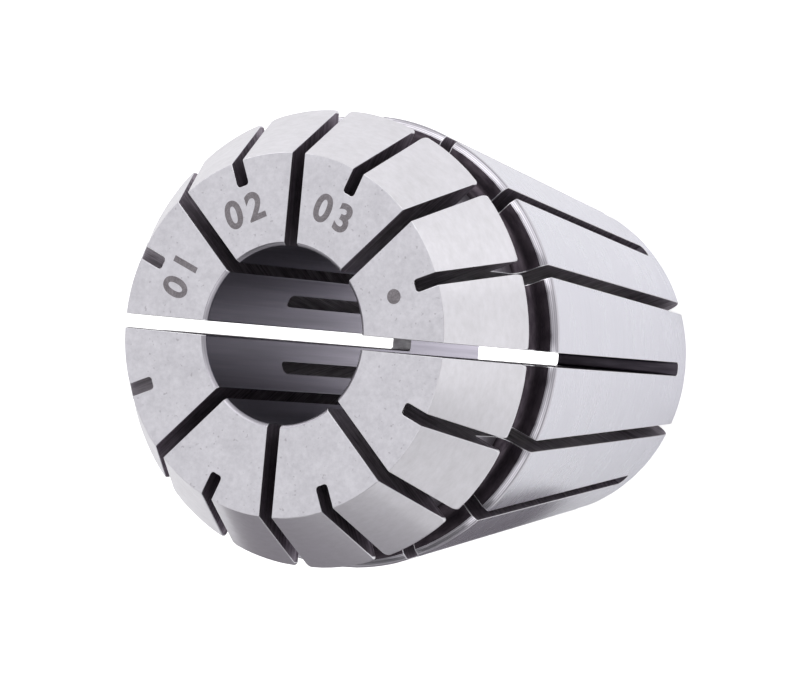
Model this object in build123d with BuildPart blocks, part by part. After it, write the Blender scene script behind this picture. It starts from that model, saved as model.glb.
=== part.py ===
from build123d import *
import math
import os

os.makedirs("parts", exist_ok=True)

# A double-slotted spring collet of the ER kind, size 25, for a 10 mm shank.
# One piece of hardened spring steel, turned, bored and ground, then sawn from
# both ends.  The axis is Z, the small end stands on Z = 0 and the clamping
# face looks up.

# --- body, mm and degrees -------------------------------------------------
body_length = 34.0
body_diameter = 26.0
taper_half_angle = 8.0
back_edge_radius = 2.0

# --- nose cone that the clamping nut presses on ---------------------------
nose_length = 4.75
nose_half_angle = 30.0
nose_land = 0.2

# --- extraction groove that the nut's ring hooks into ---------------------
groove_width = 3.45
groove_depth = 1.85
groove_corner_radius = 0.8
lip_bevel_width = 0.4
lip_bevel_angle = 30.0

# --- bore -----------------------------------------------------------------
bore_diameter = 10.0
front_bore_chamfer = 0.2
back_bore_chamfer = 0.5

# --- saw cuts -------------------------------------------------------------
# Front cuts open at the clamping face and stop short of the back; back cuts
# open at the back and stop short of the face, half a pitch round.
slot_count = 8
saw_diameter = 63.0
front_slot_width = 0.8
back_slot_width = 0.72

# The saw's edge passes the bore wall by its overrun.  A stop is the distance
# from the far end of the collet to the saw's centre where the feed ends, and
# the saw's own radius leaves a curved web of steel beyond it.
front_saw_overrun = 3.88
front_saw_stop = 24.55
back_saw_overrun = 1.16
back_saw_stop = 17.0

# --- sizes that follow ----------------------------------------------------
body_radius = body_diameter / 2
bore_radius = bore_diameter / 2
groove_radius = body_radius - groove_depth
saw_radius = saw_diameter / 2

nose_base = body_length - nose_length
face_radius = body_radius - nose_length * math.tan(math.radians(nose_half_angle))
groove_front = nose_base - nose_land
groove_back = groove_front - groove_width
lip_radius = body_radius - lip_bevel_width
taper_top = groove_back - lip_bevel_width * math.tan(math.radians(lip_bevel_angle))
back_radius = body_radius - taper_top * math.tan(math.radians(taper_half_angle))


def saw_cut(width, overrun, start, stop):
    """The slab that one saw clears as its centre feeds along Z from start to stop."""
    with BuildPart() as cut:
        with BuildSketch(Plane.XZ):
            with Locations((bore_radius - overrun + saw_radius, (start + stop) / 2)):
                SlotCenterToCenter(abs(start - stop), saw_diameter, rotation=90)
        extrude(amount=width / 2, both=True)
    return cut.part


front_cut = saw_cut(
    front_slot_width,
    front_saw_overrun,
    start=body_length + saw_radius,
    stop=front_saw_stop,
)
back_cut = saw_cut(
    back_slot_width,
    back_saw_overrun,
    start=-saw_radius,
    stop=body_length - back_saw_stop,
)

with BuildPart() as collet:
    # Half section from the bore outwards, turned about the axis.
    with BuildSketch(Plane.XZ) as half_section:
        with BuildLine():
            Polyline(
                (bore_radius + back_bore_chamfer, 0),
                (bore_radius, back_bore_chamfer),
                (bore_radius, body_length - front_bore_chamfer),
                (bore_radius + front_bore_chamfer, body_length),
                (face_radius, body_length),
                (body_radius, nose_base),
                (body_radius, groove_front),
                (groove_radius, groove_front),
                (groove_radius, groove_back),
                (lip_radius, groove_back),
                (body_radius, taper_top),
                (back_radius, 0),
                close=True,
            )
        make_face()
        groove_corner = half_section.vertices().sort_by_distance((groove_radius, groove_back))[0]
        fillet(groove_corner, groove_corner_radius)
        back_corner = half_section.vertices().sort_by_distance((back_radius, 0))[0]
        fillet(back_corner, back_edge_radius)
    revolve(axis=Axis.Z)

    # Each saw cuts one wall at a time, and never the wall opposite.
    with PolarLocations(0, slot_count):
        add(front_cut, mode=Mode.SUBTRACT)
    with PolarLocations(0, slot_count, start_angle=180 / slot_count):
        add(back_cut, mode=Mode.SUBTRACT)

collet.part.label = "collet"
export_step(collet.part, "parts/collet.step")
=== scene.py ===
import math

import bmesh
import bpy
from mathutils import Matrix, Vector


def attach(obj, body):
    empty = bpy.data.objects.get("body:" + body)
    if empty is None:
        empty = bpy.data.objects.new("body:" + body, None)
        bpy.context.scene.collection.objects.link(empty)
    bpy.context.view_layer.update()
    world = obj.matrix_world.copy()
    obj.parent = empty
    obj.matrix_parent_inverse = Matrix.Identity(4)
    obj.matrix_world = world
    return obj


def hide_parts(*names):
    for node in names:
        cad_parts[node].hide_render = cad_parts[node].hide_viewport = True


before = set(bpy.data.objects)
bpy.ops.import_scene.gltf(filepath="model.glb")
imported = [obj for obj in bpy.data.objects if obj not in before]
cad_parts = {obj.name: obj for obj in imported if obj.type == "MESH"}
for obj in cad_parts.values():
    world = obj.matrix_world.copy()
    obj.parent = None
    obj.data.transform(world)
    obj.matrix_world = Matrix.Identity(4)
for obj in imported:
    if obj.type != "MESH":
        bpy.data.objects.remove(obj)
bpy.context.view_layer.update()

# --- Camera -------------------------------------------------------------------
# A long lens, looking down on the clamping face from the side of the first
# saw slot, a little rolled.
MM = 0.001
sensor_width = 36.0
focal_length = 236.2
view_distance = 312.908 * MM
view_tilt = math.radians(28.3001)
view_turn = math.radians(0.4928)
view_roll = math.radians(5.269)
aim_across = -1.0907 * MM
aim_up = 0.484 * MM
collet_middle = Vector((0, 0, 17 * MM))

to_camera = Vector(
    (
        math.sin(view_tilt) * math.cos(view_turn),
        math.sin(view_tilt) * math.sin(view_turn),
        math.cos(view_tilt),
    )
)
level_right = Vector((0, 1, 0)).cross(to_camera).normalized()
level_up = to_camera.cross(level_right)
image_right = math.cos(view_roll) * level_right + math.sin(view_roll) * level_up
image_up = math.cos(view_roll) * level_up - math.sin(view_roll) * level_right
aim = collet_middle + aim_across * image_right + aim_up * image_up

lens = bpy.data.cameras.new("long_lens")
lens.sensor_width = sensor_width
lens.lens = focal_length
camera = bpy.data.objects.new("camera", lens)
camera.matrix_world = Matrix.Translation(aim + view_distance * to_camera) @ Matrix(
    (image_right, image_up, to_camera)
).transposed().to_4x4()
bpy.context.scene.collection.objects.link(camera)
bpy.context.scene.camera = camera
bpy.context.scene.view_settings.view_transform = "Standard"


# --- Bench and studio light ------------------------------------------------------
# A white bench top under a white room.  The bench shows white to the lens and
# in the steel, and keeps the collet's soft shadow.
def linear_colour(hex_colour):
    """The linear RGBA of an sRGB colour such as "#c8c8cc"."""
    channels = []
    for start in (1, 3, 5):
        value = int(hex_colour[start : start + 2], 16) / 255
        channels.append(value / 12.92 if value <= 0.04045 else ((value + 0.055) / 1.055) ** 2.4)
    return (*channels, 1.0)


def add_node(tree, kind, settings=(), inputs=()):
    """Adds one node.  An input given as a socket is linked, and any other is set."""
    added = tree.nodes.new("ShaderNode" + kind)
    for name, value in dict(settings).items():
        setattr(added, name, value)
    for name, value in dict(inputs).items():
        if isinstance(value, bpy.types.NodeSocket):
            tree.links.new(value, added.inputs[name])
        else:
            added.inputs[name].default_value = value
    return added


def add_object(name, data):
    """Puts a mesh or lamp in the scene under its own name."""
    added = bpy.data.objects.new(name, data)
    bpy.context.scene.collection.objects.link(added)
    return added


def backdrop_level(tree, plain, to_lens, to_gloss):
    """How brightly a backdrop shines: on everything, more to the lens and more in gloss."""
    ray = add_node(tree, "LightPath").outputs
    seen = add_node(
        tree, "Math", {"operation": "ADD"}, {0: ray["Is Camera Ray"], 1: ray["Is Transmission Ray"]}
    )
    in_gloss = add_node(
        tree, "Math", {"operation": "MULTIPLY_ADD"}, {0: ray["Is Glossy Ray"], 1: to_gloss, 2: plain}
    )
    level = add_node(
        tree,
        "Math",
        {"operation": "MULTIPLY_ADD"},
        {0: seen.outputs[0], 1: to_lens, 2: in_gloss.outputs[0]},
    )
    return level.outputs[0]


# The bench in metres, a hair below the collet's back end, and how much it shines
# to the lens and in the steel.
bench_half_width = 3.0
bench_gap = 0.02 * MM
bench_glow = 0.75
bench_gleam = 0.17

bench_mesh = bmesh.new()
bmesh.ops.create_grid(bench_mesh, x_segments=1, y_segments=1, size=bench_half_width)
bmesh.ops.translate(bench_mesh, verts=bench_mesh.verts, vec=(0, 0, -bench_gap))
bench_data = bpy.data.meshes.new("bench")
bench_mesh.to_mesh(bench_data)
bench_mesh.free()
bench = add_object("bench", bench_data)

bench_finish = bpy.data.materials.new("matt_white_laminate")
bench_finish.use_nodes = True
tree = bench_finish.node_tree
tree.nodes.clear()
matt = add_node(tree, "BsdfDiffuse", (), {"Color": linear_colour("#f0f0f0")})
glow = add_node(
    tree,
    "Emission",
    (),
    {
        "Color": linear_colour("#ffffff"),
        "Strength": backdrop_level(tree, 0.0, bench_glow, bench_gleam),
    },
)
both = add_node(tree, "AddShader", (), {0: matt.outputs[0], 1: glow.outputs[0]})
add_node(tree, "OutputMaterial", (), {"Surface": both.outputs[0]})
bench_data.materials.append(bench_finish)

# A disc of lit white acrylic is let into the bench under the bore, and lights
# the honed wall from below.
lit_disc_radius = 5.4
lit_disc_drop = 0.01
lit_disc_sides = 48
lit_disc_light = 2.6

disc_mesh = bmesh.new()
bmesh.ops.create_circle(disc_mesh, cap_ends=True, segments=lit_disc_sides, radius=lit_disc_radius * MM)
bmesh.ops.translate(disc_mesh, verts=disc_mesh.verts, vec=(0, 0, -lit_disc_drop * MM))
disc_data = bpy.data.meshes.new("lit_disc")
disc_mesh.to_mesh(disc_data)
disc_mesh.free()
lit_disc = add_object("lit_disc", disc_data)
lit_acrylic = bpy.data.materials.new("lit_white_acrylic")
lit_acrylic.use_nodes = True
tree = lit_acrylic.node_tree
tree.nodes.clear()
glow = add_node(
    tree, "Emission", (), {"Color": linear_colour("#ffffff"), "Strength": lit_disc_light}
)
add_node(tree, "OutputMaterial", (), {"Surface": glow.outputs[0]})
disc_data.materials.append(lit_acrylic)

# A graded grey card of painted shadow lies on the bench beside the collet, on its
# shaded side, darker near the collet, and a dark card of painted shade stands upright
# beyond it. Only the steel sees them: they paint the collet's shadow and a dark
# surround into its reflections, and draw the darker flank and lip that give a round
# bright piece its form. Places are in mm.
card_near_edge = -12
card_far_edge = -150
card_light_from = -90
card_lift = 0.05
painted_shade_card_ends = (-200, 100)
painted_shade_card_back = -250
painted_shade_card_foot = 150
painted_shade_card_top = 350
painted_shadow_card_corners = (
    (-17, card_near_edge, card_lift),
    (7, card_near_edge, card_lift),
    (50, card_far_edge, card_lift),
    (-130, card_far_edge, card_lift),
)
painted_shade_card_corners = (
    (painted_shade_card_ends[0], painted_shade_card_back, painted_shade_card_foot),
    (painted_shade_card_ends[1], painted_shade_card_back, painted_shade_card_foot),
    (painted_shade_card_ends[1], painted_shade_card_back, painted_shade_card_top),
    (painted_shade_card_ends[0], painted_shade_card_back, painted_shade_card_top),
)


def reflected_card(name, corners, near, far):
    """A matt card of painted shade with these corners in mm, graded along Y, that shows only in gloss.
    """
    card_mesh = bmesh.new()
    outline = [card_mesh.verts.new([place * MM for place in corner]) for corner in corners]
    card_mesh.faces.new(outline)
    card_data = bpy.data.meshes.new(name)
    card_mesh.to_mesh(card_data)
    card_mesh.free()
    card = add_object(name, card_data)
    card.visible_camera = False
    card.visible_diffuse = False
    card.visible_shadow = False
    painted_shade_finish = bpy.data.materials.new("matt_" + name)
    painted_shade_finish.use_nodes = True
    tree = painted_shade_finish.node_tree
    tree.nodes.clear()
    card_place = add_node(tree, "TexCoord").outputs["Object"]
    card_axes = add_node(tree, "SeparateXYZ", (), {0: card_place})
    distance = add_node(
        tree,
        "MapRange",
        (),
        {
            "Value": card_axes.outputs["Y"],
            "From Min": card_near_edge * MM,
            "From Max": card_light_from * MM,
        },
    )
    # The grading paints the shadow darker near the collet and lighter further out.
    shade_grading = add_node(
        tree,
        "Mix",
        {"data_type": "RGBA"},
        {0: distance.outputs[0], 6: linear_colour(near), 7: linear_colour(far)},
    )
    matt = add_node(tree, "BsdfDiffuse", (), {"Color": shade_grading.outputs[2]})
    add_node(tree, "OutputMaterial", (), {"Surface": matt.outputs[0]})
    card_data.materials.append(painted_shade_finish)


# Painted shadow and painted shade, seen only in the steel: the grey card darker near the collet, the
# dark card even.
reflected_card("painted_shadow_card", painted_shadow_card_corners, "#847e84", "#908d92")
reflected_card("painted_shade_card", painted_shade_card_corners, "#3a383b", "#3a383b")

room_light = 0.50
room_gleam = 0.03

room = bpy.data.worlds.new("white_room")
room.use_nodes = True
tree = room.node_tree
tree.nodes.clear()
walls = add_node(
    tree,
    "Background",
    (),
    {
        "Color": linear_colour("#fdfdff"),
        "Strength": backdrop_level(tree, room_light, 1.0 - room_light, room_gleam),
    },
)
add_node(tree, "OutputWorld", (), {"Surface": walls.outputs[0]})
bpy.context.scene.world = room


# Softboxes round the collet: where each stands and its width and height, in
# metres, and how bright its diffuser is, where 1 is white.  A lamp of pi watts
# to the square metre has a white diffuser.
softboxes = {
    "overhead": ((-0.30, 0.05, 0.58), 0.60, 0.60, 0.30),
    "over_right_back": ((0.20, 0.34, 0.48), 0.36, 0.36, 1.0),
    "over_right_front": ((0.28, -0.28, 0.48), 0.36, 0.36, 1.0),
    "over_back": ((-0.10, 0.45, 0.50), 0.50, 0.40, 1.4),
    "back": ((0.0, 0.30, 0.12), 0.36, 0.22, 0.15),
    "right": ((0.42, 0.0, 0.11), 0.30, 0.20, 0.50),
    "right_back": ((0.32, 0.30, 0.11), 0.30, 0.20, 0.75),
    "left_back": ((-0.32, 0.30, 0.11), 0.30, 0.20, 1.5),
    "left": ((-0.42, 0.0, 0.11), 0.30, 0.20, 0.30),
    "left_front": ((-0.32, -0.30, 0.11), 0.30, 0.20, 0.30),
}
for name, (place, width, height, brightness) in softboxes.items():
    lamp = bpy.data.lights.new(name + "_softbox", "AREA")
    lamp.shape = "RECTANGLE"
    lamp.size = width
    lamp.size_y = height
    lamp.energy = brightness * math.pi * width * height
    softbox = add_object(name + "_softbox", lamp)
    place = Vector(place)
    softbox.matrix_world = Matrix.Translation(place) @ (
        (place - collet_middle).to_track_quat("Z", "Y").to_matrix().to_4x4()
    )
    softbox.visible_camera = False

# --- Collet -------------------------------------------------------------------
# One piece of hardened spring steel, turned and bored, then ground on the face,
# the nose cone, the taper and the bore.  Eight saw cuts from the face and eight
# from the back leave sixteen leaves that close on the shank.
slot_count = 8
slot_pitch = 2 * math.pi / slot_count
# Half a leaf is turned in three runs of so many degrees and steps.  The saws cut
# the first and the last run, and the smooth wall lies between them.
leaf_sweeps = ((5.8, 1), (11.4, 5), (5.3, 1))

# Corners of the section, as radius and height in mm.  Each web root and tip is
# where a saw's floor meets the bore and the outside.
back_bore_edge = (5.5, 0.0)
back_bore_corner = (5.0, 0.5)
front_web_root = (5.0, 9.405)
back_web_root = (5.0, 25.47)
front_bore_corner = (5.0, 33.8)
front_bore_edge = (5.2, 34.0)
back_web_tip = (8.818, 34.0)
face_rim = (10.258, 34.0)
nose_rim = (13.0, 29.25)
groove_front_edge = (13.0, 29.05)
groove_front_corner = (11.15, 29.05)
groove_back_corner = (11.15, 25.6)
groove_back_radius = 0.8
lip_edge = (12.6, 25.6)
lip_rim = (13.0, 25.369)
lip_rim_radius = 0.2
front_web_tip = (9.828, 2.80)
back_rim = (9.4346, 0.0)
back_rim_radius = 2.0

# The saws: how far the arbor stands from the axis and the height where its feed
# stops, in mm, whether it comes in from above or below, half its width, and the
# side of the XZ plane on which its half slot lies.
saw_radius = 31.5
front_saw = {
    "across": 32.62,
    "stop": 24.55,
    "from_above": 1,
    "half_width": 0.40,
    "side": 1,
    "floor": "front_kerf_floor",
}
back_saw = {
    "across": 35.34,
    "stop": 17.0,
    "from_above": -1,
    "half_width": 0.36,
    "side": -1,
    "floor": "back_kerf_floor",
}
saw_floor_steps = 14
groove_round_steps = 6
lip_round_steps = 3
back_round_steps = 8

# How near two points of the section are one, in mm: on a cut, between two turns
# of a leaf, and where a saw's floor meets the turned skin.
cut_gap = 1e-5
same_point = 1e-4
seam_gap = 1e-3
weld_gap = 0.05

# Rounds and breaks, in mm, and the steps that each is drawn in.
kerf_corner = 0.18
nose_corner = 0.20
rim_break = 0.03
edge_break = 0.05
corner_segments = 3
rim_break_segments = 1
edge_break_segments = 2
nose_margin = 0.01

# An edge is broken when its faces turn by more than sharp_angle, and left alone
# past thin_web_angle, where the steel is too thin to round.
sharp_angle = math.radians(31.0)
thin_web_angle = math.radians(140.0)
smooth_angle = math.radians(40.0)
level_cosine = 0.9999
flush_cosine = 0.995

finishes = [
    "ground_face",
    "ground_cone",
    "ground_taper",
    "turned_lip",
    "bore_chamfer",
    "sawn_wall",
    "front_kerf_floor",
    "back_kerf_floor",
    "groove_wall",
    "groove_floor",
    "honed_bore",
    "edge_break",
]
FINISH = {name: index for index, name in enumerate(finishes)}


def rounded(before, corner, after, radius, steps):
    """Points of a corner of the section, rounded between its two straight runs."""
    corner = Vector(corner)
    run_in = (Vector(before) - corner).normalized()
    run_out = (Vector(after) - corner).normalized()
    half_angle = run_in.angle(run_out) / 2
    centre = corner + (run_in + run_out).normalized() * radius / math.sin(half_angle)
    spoke = corner + run_in * radius / math.tan(half_angle) - centre
    turn = math.copysign(math.pi - 2 * half_angle, run_out.cross(run_in))
    return [centre + Matrix.Rotation(turn * step / steps, 2) @ spoke for step in range(steps + 1)]


groove_round = rounded(
    groove_front_corner, groove_back_corner, lip_edge, groove_back_radius, groove_round_steps
)
lip_round = rounded(lip_edge, lip_rim, front_web_tip, lip_rim_radius, lip_round_steps)
back_round = rounded(
    front_web_tip, back_rim, back_bore_edge, back_rim_radius, back_round_steps
)

turned_surfaces = [
    ("bore_chamfer", [back_bore_edge, back_bore_corner]),
    ("honed_bore", [back_bore_corner, front_web_root, back_web_root, front_bore_corner]),
    ("bore_chamfer", [front_bore_corner, front_bore_edge]),
    ("ground_face", [front_bore_edge, back_web_tip, face_rim]),
    ("ground_cone", [face_rim, nose_rim, groove_front_edge]),
    ("groove_wall", [groove_front_edge, groove_front_corner]),
    ("groove_floor", [groove_front_corner, groove_round[0]]),
    ("groove_wall", groove_round + [lip_edge]),
    ("turned_lip", [lip_edge] + lip_round),
    ("ground_taper", [lip_round[-1], front_web_tip] + back_round),
    ("ground_face", [back_round[-1], back_bore_edge]),
]


def sawn_away(saw, point):
    """Whether a point of the saw's own plane is in the path of its teeth."""
    before_stop = (point.z - saw["stop"]) * saw["from_above"]
    inward = saw["across"] - point.x
    if before_stop > 0:
        return inward < saw_radius
    return math.hypot(inward, before_stop) < saw_radius


def saw_half_slot(steel, saw, floor_start, floor_end):
    """Saws half a slot along the XZ plane: clears the skin, then lays the floor and the wall."""
    wall_y = saw["side"] * saw["half_width"]
    bmesh.ops.bisect_plane(
        steel,
        geom=steel.verts[:] + steel.edges[:] + steel.faces[:],
        dist=cut_gap,
        plane_co=(0, wall_y, 0),
        plane_no=(0, 1, 0),
    )
    cleared = []
    for face in steel.faces:
        middle = face.calc_center_median()
        if abs(middle.y) < saw["half_width"] and sawn_away(saw, middle):
            cleared.append(face)
    bmesh.ops.delete(steel, geom=cleared, context="FACES")

    centre = Vector((saw["across"], 0, saw["stop"]))
    start = Vector((floor_start[0], 0, floor_start[1]))
    end = Vector((floor_end[0], 0, floor_end[1]))
    sweep = (start - centre).angle(end - centre)
    turn = (start - centre).cross(end - centre).y
    old_edges = set(steel.edges)
    bmesh.ops.spin(
        steel,
        geom=[steel.verts.new(start)],
        cent=centre,
        axis=(0, math.copysign(1, turn), 0),
        angle=sweep,
        steps=saw_floor_steps,
        use_duplicate=False,
    )
    floor_line = [edge for edge in steel.edges if edge not in old_edges]
    floor = bmesh.ops.extrude_edge_only(steel, edges=floor_line)["geom"]
    bmesh.ops.translate(
        steel,
        verts=[item for item in floor if isinstance(item, bmesh.types.BMVert)],
        vec=(0, wall_y, 0),
    )
    bmesh.ops.remove_doubles(steel, verts=steel.verts[:], dist=weld_gap)

    wall_outline = [
        edge
        for edge in steel.edges
        if edge.is_boundary and all(abs(vert.co.y - wall_y) < same_point for vert in edge.verts)
    ]
    for face in bmesh.ops.edgeloop_fill(steel, edges=wall_outline)["faces"]:
        face.material_index = FINISH["sawn_wall"]
    for item in floor:
        if item.is_valid and isinstance(item, bmesh.types.BMFace):
            item.material_index = FINISH[saw["floor"]]


def in_fixed_order(mesh):
    """The same mesh with its points and faces in a fixed order, and facing outwards.

    Spin and bevel leave their faces in an order that varies from run to run, and
    the next bevel places its points by it.
    """
    points = sorted(mesh.verts, key=lambda vert: tuple(vert.co))
    rank = {vert: index for index, vert in enumerate(points)}
    rings = []
    for face in mesh.faces:
        rings.append(([rank[vert] for vert in face.verts], face.material_index))
    ordered = bmesh.new()
    placed = [ordered.verts.new(vert.co) for vert in points]
    for ring, finish in sorted(rings):
        ordered.faces.new([placed[index] for index in ring]).material_index = finish
    mesh.free()
    bmesh.ops.recalc_face_normals(ordered, faces=ordered.faces[:])
    ordered.normal_update()
    return ordered


steel = bmesh.new()
for finish, outline in turned_surfaces:
    corners = [steel.verts.new((point[0], 0, point[1])) for point in outline]
    profile = corners + [steel.edges.new(pair) for pair in zip(corners, corners[1:])]
    old_faces = set(steel.faces)
    for sweep, steps in leaf_sweeps:
        profile = bmesh.ops.spin(
            steel,
            geom=profile,
            cent=(0, 0, 0),
            axis=(0, 0, 1),
            angle=math.radians(sweep),
            steps=steps,
            use_duplicate=False,
        )["geom_last"]
    for face in steel.faces:
        if face not in old_faces:
            face.material_index = FINISH[finish]
bmesh.ops.remove_doubles(steel, verts=steel.verts[:], dist=same_point)
steel = in_fixed_order(steel)

half_pitch = Matrix.Rotation(slot_pitch / 2, 3, "Z")
saw_half_slot(steel, front_saw, front_web_root, front_web_tip)
bmesh.ops.rotate(steel, verts=steel.verts[:], cent=(0, 0, 0), matrix=half_pitch.inverted())
saw_half_slot(steel, back_saw, back_web_root, back_web_tip)
bmesh.ops.rotate(steel, verts=steel.verts[:], cent=(0, 0, 0), matrix=half_pitch)

bmesh.ops.mirror(
    steel,
    geom=steel.verts[:] + steel.edges[:] + steel.faces[:],
    matrix=Matrix.Identity(4),
    merge_dist=same_point,
    axis="Y",
)
bmesh.ops.spin(
    steel,
    geom=steel.verts[:] + steel.edges[:] + steel.faces[:],
    cent=(0, 0, 0),
    axis=(0, 0, 1),
    angle=slot_pitch * (slot_count - 1),
    steps=slot_count - 1,
    use_duplicate=True,
)
bmesh.ops.remove_doubles(steel, verts=steel.verts[:], dist=seam_gap)
steel = in_fixed_order(steel)

flat_ends = [
    face
    for face in steel.faces
    if abs(face.normal.z) > level_cosine and face.material_index == FINISH["ground_face"]
]
bmesh.ops.dissolve_faces(steel, faces=flat_ends, use_verts=False)


def break_edges(mesh, wanted, offset, segments, finish):
    """Rounds the edges that wanted picks, and gives the new faces a finish.

    A cap left where a rounded edge runs out keeps the finish of the surface it lies in.
    """
    rounded_steel = in_fixed_order(mesh)
    broken = bmesh.ops.bevel(
        rounded_steel,
        geom=[edge for edge in rounded_steel.edges if wanted(edge)],
        affect="EDGES",
        offset_type="OFFSET",
        offset=offset,
        segments=segments,
        profile=0.5,
        material=-1,
        clamp_overlap=False,
    )
    rounds = set(broken["faces"])
    for face in rounds:
        face.material_index = FINISH[finish]
    for cap in [face for face in rounds if len(face.verts) > 4]:
        beside = {face for edge in cap.edges for face in edge.link_faces} - rounds
        for face in beside:
            if face.normal.dot(cap.normal) > flush_cosine:
                cap.material_index = face.material_index
    return rounded_steel


def between(edge, *names):
    """Whether an edge lies between faces of these two finishes."""
    return sorted(face.material_index for face in edge.link_faces) == sorted(
        FINISH[name] for name in names
    )


def at_the_nose(edge):
    """Whether an edge is where a slot leaves the nose, between the cone's two rims."""
    return between(edge, "sawn_wall", "ground_cone") and all(
        groove_front_edge[1] - nose_margin < vert.co.z < nose_rim[1] + nose_margin
        for vert in edge.verts
    )


def sharp_outside(edge):
    """Whether an edge is a sharp outer one, with steel enough behind it to round."""
    return (
        edge.is_manifold
        and edge.is_convex
        and sharp_angle < edge.calc_face_angle() < thin_web_angle
    )


# The saw's worn teeth leave the kerf's corners round, and the corners of the
# nose are stoned off where the slots leave it.  The rims of the face and every
# other sharp edge are only just broken, and the breaks in the bore are honed.
for saw in (front_saw, back_saw):
    steel = break_edges(
        steel,
        lambda edge: between(edge, "sawn_wall", saw["floor"]),
        kerf_corner,
        corner_segments,
        saw["floor"],
    )
steel = break_edges(steel, at_the_nose, nose_corner, corner_segments, "ground_cone")
for neighbour in ("ground_cone", "bore_chamfer"):
    steel = break_edges(
        steel,
        lambda edge: between(edge, "ground_face", neighbour),
        rim_break,
        rim_break_segments,
        neighbour,
    )
steel = break_edges(steel, sharp_outside, edge_break, edge_break_segments, "edge_break")
steel = in_fixed_order(steel)
for face in steel.faces:
    middle = face.calc_center_median()
    in_bore = middle.xy.length < front_web_root[0] + edge_break
    if in_bore and face.material_index == FINISH["edge_break"]:
        face.material_index = FINISH["honed_bore"]
for face in steel.faces:
    face.smooth = True
for edge in steel.edges:
    edge.smooth = (
        edge.calc_face_angle() < smooth_angle
        and not between(edge, "ground_face", "ground_cone")
        and not between(edge, "ground_face", "bore_chamfer")
    )
bmesh.ops.scale(steel, verts=steel.verts[:], vec=(MM, MM, MM))

collet_data = bpy.data.meshes.new("collet_body")
steel.to_mesh(collet_data)
steel.free()
collet = add_object("collet_body", collet_data)
weights = collet.modifiers.new("face_weighted_normals", "WEIGHTED_NORMAL")
weights.keep_sharp = True


# How fine the patterns are, how much of each noise spreads over the two tones,
# and the pits' share and tone.  A wave texture of scale one_wave has one to the unit.
grain_detail = {"Scale": 1.0, "Detail": 3.0, "Roughness": 0.6}
speck_detail = {"Scale": 1.0, "Detail": 1.0}
tone_range = {"From Min": 0.34, "From Max": 0.66}
speck_range = {"From Min": 0.70, "From Max": 0.76, "To Max": 0.45}
speck_tone = "#a29da3"
one_wave = math.pi / 10


def steel_finish(
    name,
    light,
    dark,
    roughness,
    clouds,
    relief,
    grain=None,
    cloud_share=0.4,
    turned=0.0,
    sawn=False,
    rings=0.0,
    specks=0.0,
):
    """One finish of the steel, between a light and a dark tone.

    grain and clouds are sizes in mm along X, Y and Z; on a turned surface outwards,
    round it and along the axis; on a sawn one across the slot, outwards and along
    the axis.  relief is the grain's height, rings the pitch of the tool's lines,
    which take the grain's place, and specks the size of fine pits, all in mm.
    turned is the radius at which the sizes round the surface are true.
    """
    finish = bpy.data.materials.new(name)
    finish.use_nodes = True
    tree = finish.node_tree
    tree.nodes.clear()
    place = add_node(tree, "TexCoord").outputs["Object"]
    if turned or sawn:
        axes = add_node(tree, "SeparateXYZ", (), {0: place}).outputs
        flat = add_node(tree, "CombineXYZ", (), {0: axes[0], 1: axes[1]})
        radius = add_node(
            tree, "VectorMath", {"operation": "LENGTH"}, {0: flat.outputs[0]}
        ).outputs["Value"]
        turn = add_node(tree, "Math", {"operation": "ARCTAN2"}, {0: axes[1], 1: axes[0]}).outputs[0]
        if sawn:
            from_slot = add_node(
                tree, "Math", {"operation": "WRAP"}, {0: turn, 1: slot_pitch / 4, 2: -slot_pitch / 4}
            )
            across = add_node(
                tree, "Math", {"operation": "MULTIPLY"}, {0: from_slot.outputs[0], 1: radius}
            )
            places = {0: across.outputs[0], 1: radius, 2: axes[2]}
        else:
            arc = add_node(tree, "Math", {"operation": "MULTIPLY"}, {0: turn, 1: turned * MM})
            places = {0: radius, 1: arc.outputs[0], 2: axes[2]}
        place = add_node(tree, "CombineXYZ", (), places).outputs[0]
    sizes = {"clouds": clouds}
    if rings:
        sizes["fine"] = (rings, rings, rings)
    else:
        sizes["fine"] = grain
    if specks:
        sizes["specks"] = (specks, specks, specks)
    spread = {}
    for pattern, size in sizes.items():
        spread[pattern] = add_node(
            tree,
            "VectorMath",
            {"operation": "DIVIDE"},
            {0: place, 1: [length * MM for length in size]},
        ).outputs[0]
    mottle = add_node(tree, "TexNoise", (), {"Vector": spread["clouds"], **grain_detail}).outputs["Fac"]
    if rings:
        fine = add_node(
            tree,
            "TexWave",
            {"wave_type": "BANDS", "bands_direction": "X"},
            {"Vector": spread["fine"], "Scale": one_wave},
        ).outputs["Fac"]
    else:
        fine = add_node(tree, "TexNoise", (), {"Vector": spread["fine"], **grain_detail}).outputs["Fac"]
    tone = add_node(tree, "Mix", (), {0: cloud_share, 2: fine, 3: mottle})
    level = add_node(tree, "MapRange", (), {"Value": tone.outputs[0], **tone_range})
    colour = add_node(
        tree,
        "Mix",
        {"data_type": "RGBA"},
        {0: level.outputs[0], 6: linear_colour(dark), 7: linear_colour(light)},
    ).outputs[2]
    if specks:
        pits = add_node(tree, "TexNoise", (), {"Vector": spread["specks"], **speck_detail})
        pitted = add_node(tree, "MapRange", (), {"Value": pits.outputs["Fac"], **speck_range})
        colour = add_node(
            tree,
            "Mix",
            {"data_type": "RGBA"},
            {0: pitted.outputs[0], 6: colour, 7: linear_colour(speck_tone)},
        ).outputs[2]
    rough = add_node(
        tree,
        "MapRange",
        (),
        {"Value": level.outputs[0], "To Min": roughness[1], "To Max": roughness[0]},
    )
    bump = add_node(
        tree, "Bump", (), {"Height": fine, "Strength": 1.0, "Distance": relief * MM}
    )
    shader = add_node(
        tree,
        "BsdfPrincipled",
        (),
        {
            "Base Color": colour,
            "Metallic": 1.0,
            "Roughness": rough.outputs[0],
            "Normal": bump.outputs[0],
        },
    )
    add_node(tree, "OutputMaterial", (), {"Surface": shader.outputs[0]})
    return finish


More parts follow.
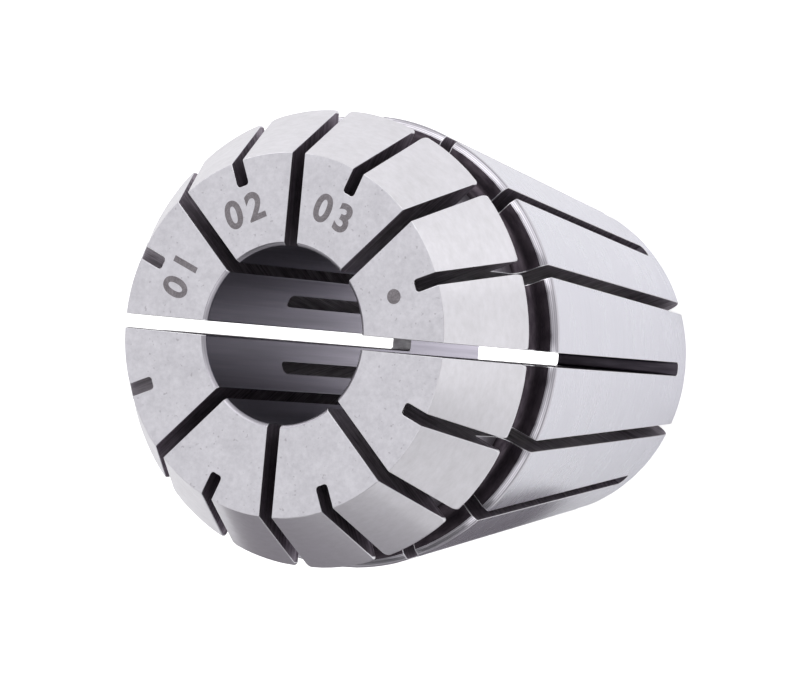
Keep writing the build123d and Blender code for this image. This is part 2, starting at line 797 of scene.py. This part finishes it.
steel_finishes = {
    # Surface-ground and tumbled: an even satin with a fine grey mottle and pits,
    # both drawn coarser than the grit's own marks so that they show.
    "ground_face": steel_finish(
        "surface_ground_spring_steel", "#e7e5eb", "#d4d2d8", (0.30, 0.36),
        grain=(0.30, 0.30, 0.30), clouds=(1.6, 1.6, 1.6), relief=0.0010, specks=0.24,
    ),
    # Ground round the axis: as the face, with a flatter grain drawn as coarse.
    "ground_cone": steel_finish(
        "cone_ground_spring_steel", "#e5e3e8", "#dad8dc", (0.30, 0.36),
        grain=(0.30, 0.60, 0.30), clouds=(1.8, 3.0, 1.8), relief=0.0005, turned=12,
    ),
    # Cylindrically ground: smoother and brighter, with faint lines round it, drawn
    # further apart than the wheel leaves them so that they show.
    "ground_taper": steel_finish(
        "cylindrical_ground_spring_steel", "#e5e4ec", "#dfdee6", (0.26, 0.30),
        grain=(0.12, 6.0, 0.16), clouds=(1.5, 5.0, 3.0), relief=0.0002, turned=12,
    ),
    # Left as turned: fine tool lines round the lip, a feed of about 0.1 mm apart.
    "turned_lip": steel_finish(
        "turned_spring_steel", "#cfccd3", "#a9a6ad", (0.28, 0.36),
        clouds=(0.3, 3.0, 0.3), relief=0.0008, turned=13, cloud_share=0.15, rings=0.095,
    ),
    # Chamfered with a turning tool: a plain grey ring.
    "bore_chamfer": steel_finish(
        "chamfered_spring_steel", "#bcb9c0", "#a19ea5", (0.32, 0.40),
        grain=(0.08, 8.0, 0.08), clouds=(1.0, 3.0, 1.0), relief=0.0006, turned=5,
    ),
    # Sawn and darkened in hardening: the saw's lines show on the walls, drawn a
    # little coarser than its teeth leave them.
    "sawn_wall": steel_finish(
        "sawn_scaled_spring_steel", "#b8aeba", "#5f5660", (0.38, 0.50),
        grain=(3.0, 6.0, 0.26), clouds=(1.2, 1.2, 0.8), relief=0.002, sawn=True,
    ),
    # The floors of the cuts from the face, black from hardening.
    "front_kerf_floor": steel_finish(
        "black_scaled_spring_steel", "#57525a", "#423d45", (0.40, 0.50),
        grain=(0.2, 3.0, 4.0), clouds=(0.5, 3.0, 4.0), relief=0.001, sawn=True,
    ),
    # The floors of the cuts from the back, scored along the cut by the saw's teeth.
    "back_kerf_floor": steel_finish(
        "scored_scaled_spring_steel", "#a09ca2", "#29262a", (0.34, 0.46),
        grain=(0.13, 9.0, 12.0), clouds=(0.5, 3.0, 4.0), relief=0.002, sawn=True,
        cloud_share=0.25,
    ),
    # The groove's walls keep the dark skin from hardening.
    "groove_wall": steel_finish(
        "scaled_spring_steel", "#5a5259", "#3a333b", (0.38, 0.48),
        grain=(0.2, 0.8, 0.2), clouds=(1.0, 3.0, 1.0), relief=0.002, turned=12,
    ),
    # The groove's floor is turned bright, in bands.
    "groove_floor": steel_finish(
        "turned_groove_spring_steel", "#b9b6bd", "#858188", (0.28, 0.38),
        grain=(0.2, 20.0, 0.16), clouds=(1.0, 4.0, 1.0), relief=0.002, turned=11,
    ),
    # Honed, and polished along the axis by the shanks it has held: a soft grey, its
    # lines drawn coarser than the stone's so that they show.
    "honed_bore": steel_finish(
        "honed_spring_steel", "#88848f", "#7a7781", (0.40, 0.46),
        grain=(1.0, 0.35, 12.0), clouds=(1.0, 1.6, 20.0), relief=0.0003, turned=5,
    ),
    # Edges broken by tumbling: a thin bright line.
    "edge_break": steel_finish(
        "tumbled_spring_steel", "#eeedf1", "#dddce0", (0.26, 0.34),
        grain=(0.15, 0.15, 0.15), clouds=(1.0, 1.0, 1.0), relief=0.0005,
    ),
}
for finish in finishes:
    collet_data.materials.append(steel_finishes[finish])

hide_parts("collet")
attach(collet, "root")

# --- Etched numbers -----------------------------------------------------------
# Plain leaf numbers and a dot, laser-etched on the face between the bore and the
# short slots, with their tops towards the rim.  The laser leaves a matt grey line.
# Sizes are in mm and bearings in degrees from the first saw slot.
face_height = 34.0
mark_circle = 7.38
mark_size = 2.2
mark_spacing = 1.3
mark_boldness = 0.065
mark_thickness = 0.012
dot_radius = 0.42
dot_sides = 24
upright_bearing = 90.0
marks = {"01": 158.0, "02": 115.0, "03": 70.0}
dot_bearing = 21.5

etching = bmesh.new()


def place_mark(flat_mesh, bearing):
    """Moves a flat mark, drawn upright at the origin, to its bearing on the face."""
    turn = math.radians(bearing - upright_bearing)
    bmesh.ops.rotate(
        flat_mesh, verts=flat_mesh.verts, cent=(0, 0, 0), matrix=Matrix.Rotation(turn, 3, "Z")
    )
    across = mark_circle * math.cos(math.radians(bearing))
    up = mark_circle * math.sin(math.radians(bearing))
    bmesh.ops.translate(flat_mesh, verts=flat_mesh.verts, vec=(across, up, face_height))
    part = bpy.data.meshes.new("mark")
    flat_mesh.to_mesh(part)
    flat_mesh.free()
    etching.from_mesh(part)
    bpy.data.meshes.remove(part)


for label, bearing in marks.items():
    letters = bpy.data.curves.new("numbers_" + label, "FONT")
    letters.body = label
    letters.size = mark_size
    letters.space_character = mark_spacing
    letters.align_x = "CENTER"
    letters.align_y = "CENTER"
    letters.offset = mark_boldness
    letters.extrude = mark_thickness
    drawn = bpy.data.objects.new("numbers_" + label, letters)
    outline = bpy.data.meshes.new_from_object(drawn)
    mark = bmesh.new()
    mark.from_mesh(outline)
    bpy.data.objects.remove(drawn)
    bpy.data.curves.remove(letters)
    bpy.data.meshes.remove(outline)
    place_mark(mark, bearing)

dot = bmesh.new()
bmesh.ops.create_cone(
    dot,
    cap_ends=True,
    segments=dot_sides,
    radius1=dot_radius,
    radius2=dot_radius,
    depth=2 * mark_thickness,
)
place_mark(dot, dot_bearing)

bmesh.ops.remove_doubles(etching, verts=etching.verts[:], dist=same_point)
bmesh.ops.recalc_face_normals(etching, faces=etching.faces[:])
bmesh.ops.scale(etching, verts=etching.verts[:], vec=(MM, MM, MM))
etching_data = bpy.data.meshes.new("etched_numbers")
etching.to_mesh(etching_data)
etching.free()
etched_numbers = add_object("etched_numbers", etching_data)
# Laser-etched: matt grey, a little mottled where the beam's passes overlap.  The
# mottle is drawn coarser than the beam's width so that it shows.
laser_etched = steel_finish(
    "laser_etched_spring_steel", "#9c979b", "#7d787c", (0.50, 0.62),
    grain=(0.10, 0.10, 0.10), clouds=(0.5, 0.5, 0.5), relief=0.0015,
)
etching_data.materials.append(laser_etched)
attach(etched_numbers, "root")
